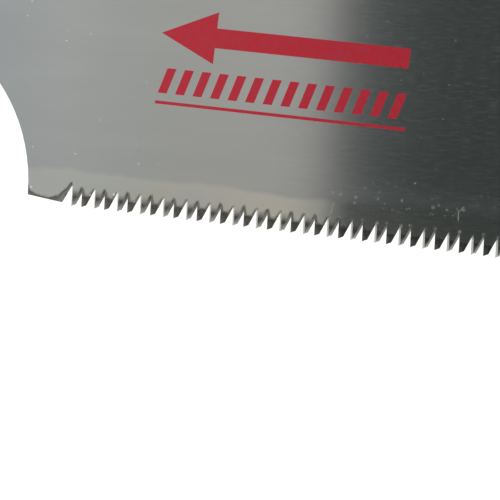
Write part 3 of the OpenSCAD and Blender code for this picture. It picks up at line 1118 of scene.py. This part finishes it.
@dataclass(frozen=True)
class Oval:
    """Two half circles with a flat between them, as the handle's section and the ribs have."""

    middle: tuple[float, float]
    half_flat: float = 6.0 * MM

    def at(self, share: np.ndarray, radius: np.ndarray) -> tuple[np.ndarray, np.ndarray, float]:
        """Points round the oval.

        The share runs evenly along the outline at the mean radius: over the upper flat, round the
        half circle on the back's side, under the lower flat and round the other half circle. A
        point is the outline's own centre line plus radius times its outward direction.

        Args:
            share: place round the outline, where 1 is a full turn.
            radius: distance from the flat's middle line, in metres.

        Returns:
            Y and z of the points, and the outline's length at the mean radius.
        """
        flat, bend = 2 * self.half_flat, math.pi * float(np.mean(radius))
        length = 2 * (flat + bend)
        run = np.mod(share, 1.0) * length
        stops = np.cumsum([0.0, flat / 2, bend, flat, bend, flat / 2])
        spine = np.interp(run, stops, [0, self.half_flat, self.half_flat, -self.half_flat,
                                       -self.half_flat, 0])
        angle = np.interp(run, stops, np.radians([90, 90, -90, -90, -270, -270]))
        y = self.middle[0] + spine + radius * np.cos(angle)
        z = self.middle[1] + radius * np.sin(angle)
        return y, z, length

    def carry(self, run: np.ndarray, radius: np.ndarray, columns: int) -> np.ndarray:
        """Carry a profile round the oval.

        Args:
            run: place of each of the profile's points across the oval's plane, in metres.
            radius: its distance from the flat's middle line.
            columns: places round the oval.

        Returns:
            One ring for each point of the profile, as places round it, and run, y, z.
        """
        share = np.linspace(0, 1, columns, endpoint=False)[None, :]
        y, z, _ = self.at(share + 0 * radius[:, None], radius[:, None] + 0 * share)
        return np.stack([run[:, None] + 0 * share, y, z], axis=-1)


class Side(Enum):
    """The two sides of the plate, as the sign of the way out along z."""

    UPPER = 1
    LOWER = -1


@dataclass(frozen=True)
class Head:
    """The folded steel channel that holds the blade, with its ribs, pin and rivets.

    A rib is given by its two ends and its place across the channel, in millimetres. The pin's
    profiles are distances from its axis and depths under its end, in millimetres.
    """

    edge_ease: float = 0.14 * MM
    weld: float = 0.001 * MM
    flat_angle: float = math.radians(0.4)
    eased_angle: float = math.radians(40)
    ribs: tuple[tuple[float, float, float], ...] = ((-22.6, -3.4, 22.0), (-24.6, -9.6, 10.4))
    rib_radius: float = 1.35 * MM
    rib_rise: float = 0.42 * MM
    rib_root: float = 0.2 * MM
    rib_columns: int = 72
    pin_dimple: tuple[tuple[float, float], ...] = ((0.45, 0.2), (0.62, 0.08))
    pin_dome: tuple[float, ...] = (0.85, 1.5, 2.1, 2.6, 3.0)
    pin_edge: tuple[tuple[float, float], ...] = ((3.28, 0.56), (3.4, 0.68), (3.4, 0.79))
    pin_root: tuple[float, float] = (2.0, 0.79)
    pin_head: float = 3.4
    pin_fall: float = 0.44

    def channel(self, material: Material) -> None:
        """Copy the channel, merge its triangles into faces and ease its edges.

        Args:
            material: the sheet steel.
        """
        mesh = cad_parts["head_channel"].data.copy()
        with editing(mesh) as work:
            bmesh.ops.remove_doubles(work, verts=work.verts, dist=self.weld)
            bmesh.ops.dissolve_limit(work, angle_limit=self.flat_angle, verts=work.verts,
                                     edges=work.edges)
            edges = [edge for edge in work.edges
                     if edge.is_manifold and edge.calc_face_angle(0.0) > self.eased_angle]
            bmesh.ops.bevel(work, geom=edges, offset=self.edge_ease, segments=2, profile=0.5,
                            affect="EDGES", clamp_overlap=False)
        thing = Piece("head_sheet", material, "head_steel", ("head_channel",)).show(mesh)
        weighted = thing.modifiers.new("flat_faces_stay_flat", "WEIGHTED_NORMAL")
        weighted.keep_sharp = True

    def rib(self, number: int, side: Side, material: Material) -> None:
        """Press one rib out of a cheek.

        Its rings shrink by the cosine of an angle and rise by its sine, round a straight spine.

        Args:
            number: which rib.
            side: which cheek.
            material: the sheet steel.
        """
        rear, front, y = (c * MM for c in self.ribs[number])
        low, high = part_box("head_channel")
        cheek = (low.z + high.z) / 2 + side.value * (high.z - low.z) / 2
        angle = np.radians([0, 0, 15, 30, 45, 60, 72, 82])
        rise = self.rib_rise * np.sin(angle)
        rise[0] = -self.rib_root
        rings = Oval(((rear + front) / 2, y), (front - rear) / 2).carry(
            cheek + side.value * rise, self.rib_radius * np.cos(angle), self.rib_columns)
        # The oval lies flat on the cheek, so what it calls run, y and z are the rib's z, x and y
        points, faces = skin(rings[..., (1, 2, 0)])
        Piece(f"cheek_rib_{side.name.lower()}_{number + 1}", material, "head_steel").shell(points, faces)

    def pin(self, material: Material) -> None:
        """Turn the hook pin, with a low domed head on each cheek and a turned dimple in it.

        The dome falls from its middle by the square of the distance.

        Args:
            material: the pin steel.
        """
        low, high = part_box("hook_pin")
        middle = (low + high) / 2
        dome = [(reach, self.pin_fall * (reach / self.pin_head) ** 2) for reach in self.pin_dome]
        half = np.array([*self.pin_dimple, *dome, *self.pin_edge, self.pin_root]) * MM
        half[:, 1] = high.z - middle.z - half[:, 1]
        points, faces = skin(turned(middle, mirrored(half)))
        Piece("hook_pin_turned", material, "pin_steel", ("hook_pin",)).shell(points, faces)

    def build(self) -> None:
        """Shape and dress the head's parts."""
        sheet = PlainSteel("folded_sheet_steel", "#BFC1C0", "#A9ABAA", 0.3).material()
        pin = PlainSteel("turned_pin_steel", "#D4D5D3", "#BFC1BF", 0.27, (0.4, 0.4, 0.4)).material()
        rivet = PlainSteel("rivet_steel", "#C4C5C4", "#ADAFAD", 0.28, (0.5, 0.5, 0.5)).material()
        strip = PlainSteel("hot_rolled_strip", "#8E8F8E", "#747675", 0.42).material()
        self.channel(sheet)
        for side in Side:
            for number in range(len(self.ribs)):
                self.rib(number, side, sheet)
        self.pin(pin)
        dress(rivet, "hook_pin", "head_rivets", "core_pins")
        dress(sheet, "head_channel")
        dress(strip, "tail_spacer")


@dataclass(frozen=True)
class Winding:
    """A strip or thread wound closely round the oval.

    The crossing is the share of a turn in which it moves on to its next place, under the handle's
    lower flat. The lap is how far it runs on at both ends, in turns, and there it dips by the tuck.
    """

    oval: Oval
    rear_x: float
    front_x: float
    pitch: float
    profile: np.ndarray
    inner: float
    steps: int = 72
    stray: float = 0.0
    stray_waves: tuple[float, float] = (2.1, 5.3)
    crossing: float = 1.0
    lap: float = 0.0
    tuck: float = 0.0
    tuck_turns: float = 0.03

    def surface(self) -> tuple[np.ndarray, list, dict[str, np.ndarray]]:
        """Carry the strip's profile along a helix.

        After t turns the strip's middle is at rear + half a pitch + its place times the pitch, and
        each point of the profile stands that much further along the handle and that much over the
        inner radius. The place is t rounded down, plus a ramp from 0 to 1 across the middle of the
        turn. The middle strays a little by two slow sines, and not at the winding's ends.

        Returns:
            Points, faces, and the strip coordinates of each point: metres along, metres across.
        """
        turns = (self.front_x - self.rear_x) / self.pitch - 1
        count = int((turns + 2 * self.lap) * self.steps) + 1
        t = np.linspace(-self.lap, turns + self.lap, count)[:, None]
        ramp = np.clip((t - np.floor(t) - 0.5) / self.crossing + 0.5, 0, 1)
        place = np.clip(np.floor(t) + ramp, 0, turns)
        dip = self.tuck * np.clip(1 - np.minimum(t - t[0], t[-1] - t) / self.tuck_turns, 0, 1)
        across, rise = self.profile[:, 0][None, :], self.profile[:, 1][None, :]
        y, z, length = self.oval.at(t + 0 * rise, self.inner + rise - dip)
        slow, fast = self.stray_waves
        stray = self.stray * (np.sin(slow * t) + np.sin(fast * t + 1.0)) * np.sin(math.pi * t / turns)
        x = self.rear_x + self.pitch * (0.5 + place) + stray + across
        strip = np.stack(np.broadcast_arrays(t * length, across, 0 * t), axis=-1).reshape(-1, 3)
        return *skin(np.stack([x, y, z], axis=-1)), {"strip": strip}


@dataclass(frozen=True)
class Grip:
    """The wooden core with its cane winding and the two bindings."""

    strip_pitch: float = 3.1 * MM
    strip_width: float = 3.04 * MM
    strip_thickness: float = 1.2 * MM
    edge_thickness: float = 0.55 * MM
    strip_stray: float = 0.03 * MM
    crown_share: float = 0.985
    under_share: float = 0.96
    joint_seed: int = 11
    joint_spacing: float = 0.23
    joint_spread: float = 0.25
    joint_count: int = 40
    joint_width: float = 0.5 * MM
    joint_tone: float = 0.8
    thread: float = 0.86 * MM
    thread_rise: float = 0.8 * MM
    thread_crossing: float = 0.08
    thread_tuck: float = 0.72 * MM

    def cane(self, oval: Oval, material: Material) -> None:
        """Wind the cane strip, which stands for the plain sleeve.

        The profile is flat below and crowned above: its rise is the edge's thickness plus the rest
        times the root of one minus the share across squared. Every 23 cm or so the cane has a
        joint, where it is darker.

        Args:
            oval: section that the strip lies on.
            material: the cane.
        """
        low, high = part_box("rattan_wrap")
        half = self.strip_width / 2
        share = np.linspace(-1, 1, 9)
        crown = self.edge_thickness + (self.strip_thickness - self.edge_thickness) * np.sqrt(
            1 - (self.crown_share * share) ** 2)
        under = self.under_share * half
        profile = np.vstack([np.stack([share * half, crown], axis=-1), [[under, 0], [0, 0], [-under, 0]]])
        winding = Winding(oval, low.x, high.x, self.strip_pitch, profile,
                          (high.z - low.z) / 2 - self.strip_thickness, stray=self.strip_stray)
        points, faces, attributes = winding.surface()
        along = attributes["strip"][:, 0]
        draw = np.random.default_rng(self.joint_seed)
        joints = np.cumsum(self.joint_spacing * draw.uniform(1 - self.joint_spread, 1 + self.joint_spread,
                                                             self.joint_count))
        gap = np.min(np.abs(along[:, None] - joints[None, :]), axis=1)
        attributes["joint_ring"] = self.joint_tone * np.exp(-(gap / self.joint_width) ** 2)
        Piece("cane_winding", material, "rattan", ("rattan_wrap",)).shell(points, faces, attributes)

    def binding(self, node: str, oval: Oval, material: Material) -> None:
        """Wind one binding of lacquered thread, in the place of a plain band.

        Args:
            node: the band that it stands for.
            oval: section that it lies on.
            material: the thread.
        """
        low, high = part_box(node)
        turn = np.linspace(0, 2 * math.pi, 9)[:-1]
        profile = np.stack([-np.cos(turn) * self.thread / 2,
                            (1 + np.sin(turn)) * self.thread_rise / 2], axis=-1)
        turns = round((high.x - low.x) / self.thread)
        winding = Winding(oval, low.x, high.x, (high.x - low.x) / turns, profile,
                          (high.z - low.z) / 2 - self.thread_rise, crossing=self.thread_crossing,
                          lap=0.5 + self.thread_crossing / 2, tuck=self.thread_tuck)
        Piece(node + "_thread", material, "binding_lacquer", (node,)).shell(*winding.surface())

    def build(self) -> None:
        """Dress the core, wind the cane and bind its ends."""
        dress(PaleTimber().material(), "core_left", "core_right")
        oval = Oval(section_middle(*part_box("rattan_wrap")))
        self.cane(oval, SplitCane().material())
        thread = LacqueredThread().material()
        for node in ("front_binding", "rear_binding"):
            self.binding(node, oval, thread)


@dataclass(frozen=True)
class Fittings:
    """The pressed ferrule and cap at the handle's ends, and the rolled brass eyelet.

    The ferrule and the cap have rolled beads at their rims. Between the beads the wall is half a
    millimetre lower. Runs count from the rim, and the front bead's run from the ferrule's front.
    """

    columns: int = 192
    inner: float = 10.3 * MM
    inner_ease: float = 0.5 * MM
    inner_slope: float = 0.6 * MM
    neck: float = 11.0 * MM
    bead: float = 0.9 * MM
    rim_start: float = 0.35 * MM
    rim_end: float = 1.935 * MM
    wall: float = 1.2 * MM
    shoulder: float = 1.6 * MM
    front_bead: float = 4.6 * MM
    bead_foot: float = 1.0 * MM
    ferrule_groove: float = 5.2 * MM
    groove: tuple[tuple[float, float], ...] = (
        (0.0, 0.0), (0.12, -0.16), (0.3, -0.22), (0.48, -0.16), (0.6, 0.0))
    front_rings: tuple[tuple[float, float], ...] = (
        (0.0, 0.0), (0.0, 0.6), (0.0, 0.985), (0.12, 1.0), (1.2, 1.0))
    slot_gap: float = 0.1 * MM
    cap_groove: float = 17.2 * MM
    cap_shoulder: float = 2.2 * MM
    cap_floor: float = 2.0 * MM
    cap_centre: float = 2.0 * MM
    crown: float = 0.5 * MM
    hole: float = 3.7 * MM
    weld: float = 0.01 * MM
    tube: float = 3.0 * MM
    tube_wall: float = 0.6 * MM
    lip: float = 1.1 * MM
    flare: float = 5.0 * MM
    flare_edge: float = 0.28 * MM
    flare_under: float = 0.3 * MM
    flare_thickness: float = 0.5 * MM

    def rolled_rim(self, outer: float) -> np.ndarray:
        """Run and radius of a rolled rim: half a circle that stands over the neck.

        Args:
            outer: radius at the bead's crest.

        Returns:
            The points from the inner wall over the bead to the neck.
        """
        rim = arc((self.bead, outer - self.bead), self.bead, 200, 30, 12)
        return np.vstack([[[self.rim_start, self.inner]], rim, [[self.rim_end, self.neck]]])

    def grooved(self, run: float) -> np.ndarray:
        """Run and radius of a fine turned groove in the neck, which starts at that run."""
        return np.array(self.groove) * MM + (run, self.neck)

    def cap(self, material: Material) -> Object:
        """Press the cap: a cup with a rolled rim, a groove, a round shoulder and a crowned end.

        The profile runs from the middle of the inner end out to the rim and back over the outside,
        and is carried round the oval. The end's height falls by the square of the distance.

        Args:
            material: the pressed steel.

        Returns:
            The cap, not yet bored.
        """
        low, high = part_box("butt_cap")
        depth = high.x - low.x
        floor, side = depth - self.cap_floor, self.neck - self.cap_shoulder
        inside = np.array([[floor, self.cap_centre], [floor, self.inner - self.inner_ease],
                           [floor - self.inner_ease, self.inner]])
        shoulder = arc((depth - self.crown - self.cap_shoulder, side), self.cap_shoulder, 90, 8, 9)
        reach = np.linspace(side, self.cap_centre, 6)
        fall = (reach - self.cap_centre) / (side - self.cap_centre)
        crown = np.stack([depth - self.crown * fall ** 2, reach], axis=-1)
        profile = np.vstack([inside, self.rolled_rim((high.z - low.z) / 2),
                             self.grooved(self.cap_groove), shoulder, crown])
        rings = Oval(section_middle(low, high)).carry(high.x - profile[:, 0], profile[:, 1], self.columns)
        return Piece("cap_shell", material, "ferrule_steel", ("butt_cap",)).shell(*skin(rings))

    def bore(self, shell: Object) -> None:
        """Cut the hanging hole through the cap's flats, and keep the cut mesh.

        Args:
            shell: the cap.
        """
        low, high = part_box("hang_eyelet")
        middle = [(a + b) / 2 for a, b in zip(low, high)]
        reach = (high.z - low.z) / 2 + MM
        rings = turned(middle, np.array([[self.hole, -reach], [self.hole, reach]]))
        drill = put("drill", new_mesh("drill", *skin(rings)))
        cut = shell.modifiers.new("hanging_hole", "BOOLEAN")
        cut.operation = "DIFFERENCE"
        cut.solver = "EXACT"
        cut.object = drill
        graph = bpy.context.evaluated_depsgraph_get()
        bored = bpy.data.meshes.new_from_object(shell.evaluated_get(graph))
        with editing(bored) as work:
            bmesh.ops.remove_doubles(work, verts=work.verts, dist=self.weld)
            bmesh.ops.dissolve_degenerate(work, edges=work.edges, dist=self.weld)
        shell.modifiers.clear()
        shell.data = bored
        bpy.data.objects.remove(drill)

    def ferrule(self, material: Material) -> None:
        """Press the ferrule: a closed-fronted sleeve with two beads and the head's slot.

        The profile is a closed loop carried round the oval. On the front wall a ring lies some
        millimetres behind the front, and its points are a share of the way from the oval to the
        slot's outline, each towards the slot's middle.

        Args:
            material: the pressed steel.
        """
        low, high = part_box("front_ferrule")
        length, outer = high.x - low.x, (high.z - low.z) / 2
        crest, side = length - self.front_bead, self.neck - self.shoulder
        outside = np.vstack([
            self.rolled_rim(outer), self.grooved(self.ferrule_groove),
            [[crest - self.bead_foot, self.neck]], arc((crest, outer - self.bead), self.bead, 150, 30, 9),
            [[crest + self.bead_foot, self.neck]],
            arc((length - self.shoulder, side), self.shoulder, 80, 10, 8)])
        behind, towards = np.array(self.front_rings).T
        front = np.stack([length - behind * MM, np.full(len(behind), side)], axis=-1)
        inside = [[length - self.wall, side], [length - self.wall - self.inner_slope, self.inner]]
        profile = np.vstack([outside, front, inside])
        rings = Oval(section_middle(low, high)).carry(low.x + profile[:, 0], profile[:, 1], self.columns)
        first = len(outside)
        wall = rings[first:first + len(front), :, 1:]
        part = towards[:, None, None]
        wall[:] = (1 - part) * wall + part * self.slot(wall[0])
        Piece("ferrule_shell", material, "ferrule_steel", ("front_ferrule",)).shell(*skin(rings, True))

    def slot(self, ring: np.ndarray) -> np.ndarray:
        """Outline of the head's slot, with one point for each point of a ring round it.

        A ray from the slot's middle to the ring's point meets the outline where the larger of its
        two shares of the slot's half sizes is one. The nearest points move into the four corners.

        Args:
            ring: y and z of the ring's points, one a row.

        Returns:
            Y and z of the outline's points.
        """
        low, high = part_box("head_channel")
        half = np.array([high.y - low.y, high.z - low.z]) / 2 + self.slot_gap
        middle = np.array(section_middle(low, high))
        off = ring - middle
        off *= 1 / np.max(np.abs(off) / half, axis=1, keepdims=True)
        for corner in half * [(-1, -1), (-1, 1), (1, -1), (1, 1)]:
            off[np.argmin(np.hypot(*(off - corner).T))] = corner
        return middle + off

    def eyelet(self, material: Material) -> None:
        """Roll the eyelet: a tube whose ends are turned out over the cap.

        Its profile is a closed loop.

        Args:
            material: the brass.
        """
        low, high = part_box("hang_eyelet")
        middle = (low + high) / 2
        top = high.z - middle.z
        under = top - self.flare_thickness
        half = np.vstack([
            arc((self.tube + self.lip, top - self.lip), self.lip, 180, 90, 8),
            arc((self.flare - self.flare_edge, top - self.flare_edge), self.flare_edge, 80, -60, 7),
            [[self.flare - self.flare_under, under], [self.tube + self.tube_wall, under]]])
        points, faces = skin(turned(middle, mirrored(half)), True)
        Piece("eyelet_rolled", material, "eyelet_brass", ("hang_eyelet",)).shell(points, faces)

    def build(self) -> None:
        """Shape and dress the fittings."""
        pressed = PlainSteel("pressed_satin_steel", "#C6C7C6", "#B4B6B5", 0.26,
                             (0.35, 9.0, 9.0)).material()
        brass = PlainSteel("rolled_brass", "#D0A550", "#B08436", 0.25, (0.6, 0.6, 0.6)).material()
        dress(pressed, "front_ferrule", "butt_cap")
        dress(brass, "hang_eyelet")
        self.ferrule(pressed)
        self.bore(self.cap(pressed))
        self.eyelet(brass)


@dataclass(frozen=True)
class Studio:
    """Pale floor, soft light, and the camera where the photograph was taken from.

    The tent has its level or colour by the direction's x, from white at the left over grey and a
    near black slot to white at the right. Along y it brightens up the slope by the lift, and ends
    where y is large either way. Its walls start where the direction's z is small.
    """

    camera_at: tuple[float, float, float] = (86.96 * MM, -22.93 * MM, 211.3 * MM)
    looks_at: tuple[float, float, float] = (58.94 * MM, -21.36 * MM, 11.5 * MM)
    roll: float = math.radians(7.05)
    lens: float = 115.7
    sensor: float = 36.0
    clip: tuple[float, float] = (0.01, 100.0)
    floor_half: float = 12.0
    board: tuple[str, str] = ("#F4F4F2", "#F1F1EF")
    sun_from: tuple[float, float, float] = (-0.68, -0.28, 0.72)
    sun_strength: float = 3.4
    sun_angle: float = math.radians(24)
    tent_end: float = 0.85
    tent_ends: tuple[float, float] = (0.45, 0.8)
    tent_wall: float = 0.92
    tent_walls: tuple[float, float] = (0.25, 0.6)
    tent_slope: tuple[float, float] = (-0.1, 0.25)
    tent_lift: tuple[float, float] = (0.84, 1.13)
    tent: tuple[tuple[float, float | Colour], ...] = (
        (-0.7, 0.85), (-0.36, (0.55, 0.595, 0.61, 1.0)), (-0.29, (0.53, 0.565, 0.58, 1.0)),
        (-0.254, (0.60, 0.62, 0.61, 1.0)), (-0.232, (0.545, 0.57, 0.555, 1.0)),
        (-0.174, (0.545, 0.55, 0.53, 1.0)), (-0.143, (0.56, 0.56, 0.545, 1.0)),
        (-0.105, (0.565, 0.56, 0.545, 1.0)), (-0.086, (0.14, 0.152, 0.15, 1.0)),
        (-0.073, (0.086, 0.102, 0.102, 1.0)), (-0.05, (0.072, 0.086, 0.085, 1.0)),
        (-0.02, (0.057, 0.068, 0.066, 1.0)), (0.05, (0.053, 0.064, 0.061, 1.0)), (0.11, 0.45),
        (0.3, 0.85))

    def floor(self) -> None:
        """Lay the pale floor under the saw."""
        corners = np.array([(-1, -1, 0), (1, -1, 0), (1, 1, 0), (-1, 1, 0)])
        mesh = new_mesh("studio_floor", self.floor_half * corners, [(0, 1, 2, 3)])
        material, tree = new_material("matt_white_board")
        place = add(tree, "TexCoord").outputs["Object"]
        cloud = add(tree, "TexNoise", {"Vector": place, "Scale": 3.0, "Detail": 2.0})
        colour = add(tree, "MixRGB", (cloud, *(linear(code) for code in self.board)))
        surface(tree, {"Base Color": colour, "Roughness": 0.75, "Specular IOR Level": 0.2})
        mesh.materials.append(material)
        floor = put("studio_floor", mesh)

    def light(self) -> None:
        """Hang the key light and the sky.

        The sky is a white tent with a dark slot across its top. The slot ends where the direction's
        y is large either way, and near the horizon the tent is white all round.
        """
        key = bpy.data.lights.new("key", "SUN")
        key.energy = self.sun_strength
        key.angle = self.sun_angle
        lamp = put("key", key)
        lamp.rotation_mode = "QUATERNION"
        lamp.rotation_quaternion = Vector(self.sun_from).to_track_quat("Z", "Y")

        world = bpy.data.worlds.new("tent")
        bpy.context.scene.world = world
        world.use_nodes = True
        tree = world.node_tree
        tree.nodes.clear()
        direction = add(tree, "TexCoord").outputs["Generated"]
        x, y, z = add(tree, "SeparateXYZ", (direction,)).outputs
        across = follow(tree, x, self.tent, (-1.0, 1.0))
        lift = add(tree, "MapRange", (y, *self.tent_slope, *self.tent_lift))
        panel = add(tree, "VectorMath", {0: across, "Scale": lift}, operation="SCALE")
        side = add(tree, "Math", (y,), operation="ABSOLUTE")
        away = add(tree, "MapRange", (side, *self.tent_ends), interpolation_type="SMOOTHSTEP")
        sky = add(tree, "MixRGB", (away, panel, grey(self.tent_end)))
        low = add(tree, "MapRange", (z, *self.tent_walls, 1.0, 0.0))
        tent = add(tree, "MixRGB", (low, sky, grey(self.tent_wall)))
        add(tree, "OutputWorld", {"Surface": add(tree, "Background", {"Color": tent, "Strength": 1.0})})

    def camera(self) -> None:
        """Place the camera.

        It looks from its place to its target. The plate's height runs up the image before the
        camera rolls by a few degrees.
        """
        data = bpy.data.cameras.new("photo_camera")
        data.lens = self.lens
        data.sensor_width = self.sensor
        data.clip_start, data.clip_end = self.clip
        camera = put("photo_camera", data)
        place, target = Vector(self.camera_at), Vector(self.looks_at)
        forward = (target - place).normalized()
        plate_up = Vector((math.sin(TOOTH_LINE.taper), math.cos(TOOTH_LINE.taper), 0.0))
        right = forward.cross(plate_up).normalized()
        up = right.cross(forward)
        turned_right = math.cos(self.roll) * right + math.sin(self.roll) * up
        turned_up = math.cos(self.roll) * up - math.sin(self.roll) * right
        camera.matrix_world = Matrix([
            [turned_right[i], turned_up[i], -forward[i], place[i]] for i in range(3)] + [[0, 0, 0, 1]])
        bpy.context.scene.camera = camera

    def build(self) -> None:
        """Set up the camera, floor and light, with colours shown as they are."""
        self.camera()
        self.floor()
        self.light()
        bpy.context.scene.view_settings.view_transform = "Standard"


def main() -> None:
    """Build the scene in order."""
    logging.basicConfig(level=logging.INFO, format="%(name)s: %(message)s")
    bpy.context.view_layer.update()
    Studio().build()
    Blade().build()
    Head().build()
    Grip().build()
    Fittings().build()


if __name__ == "__main__":
    main()
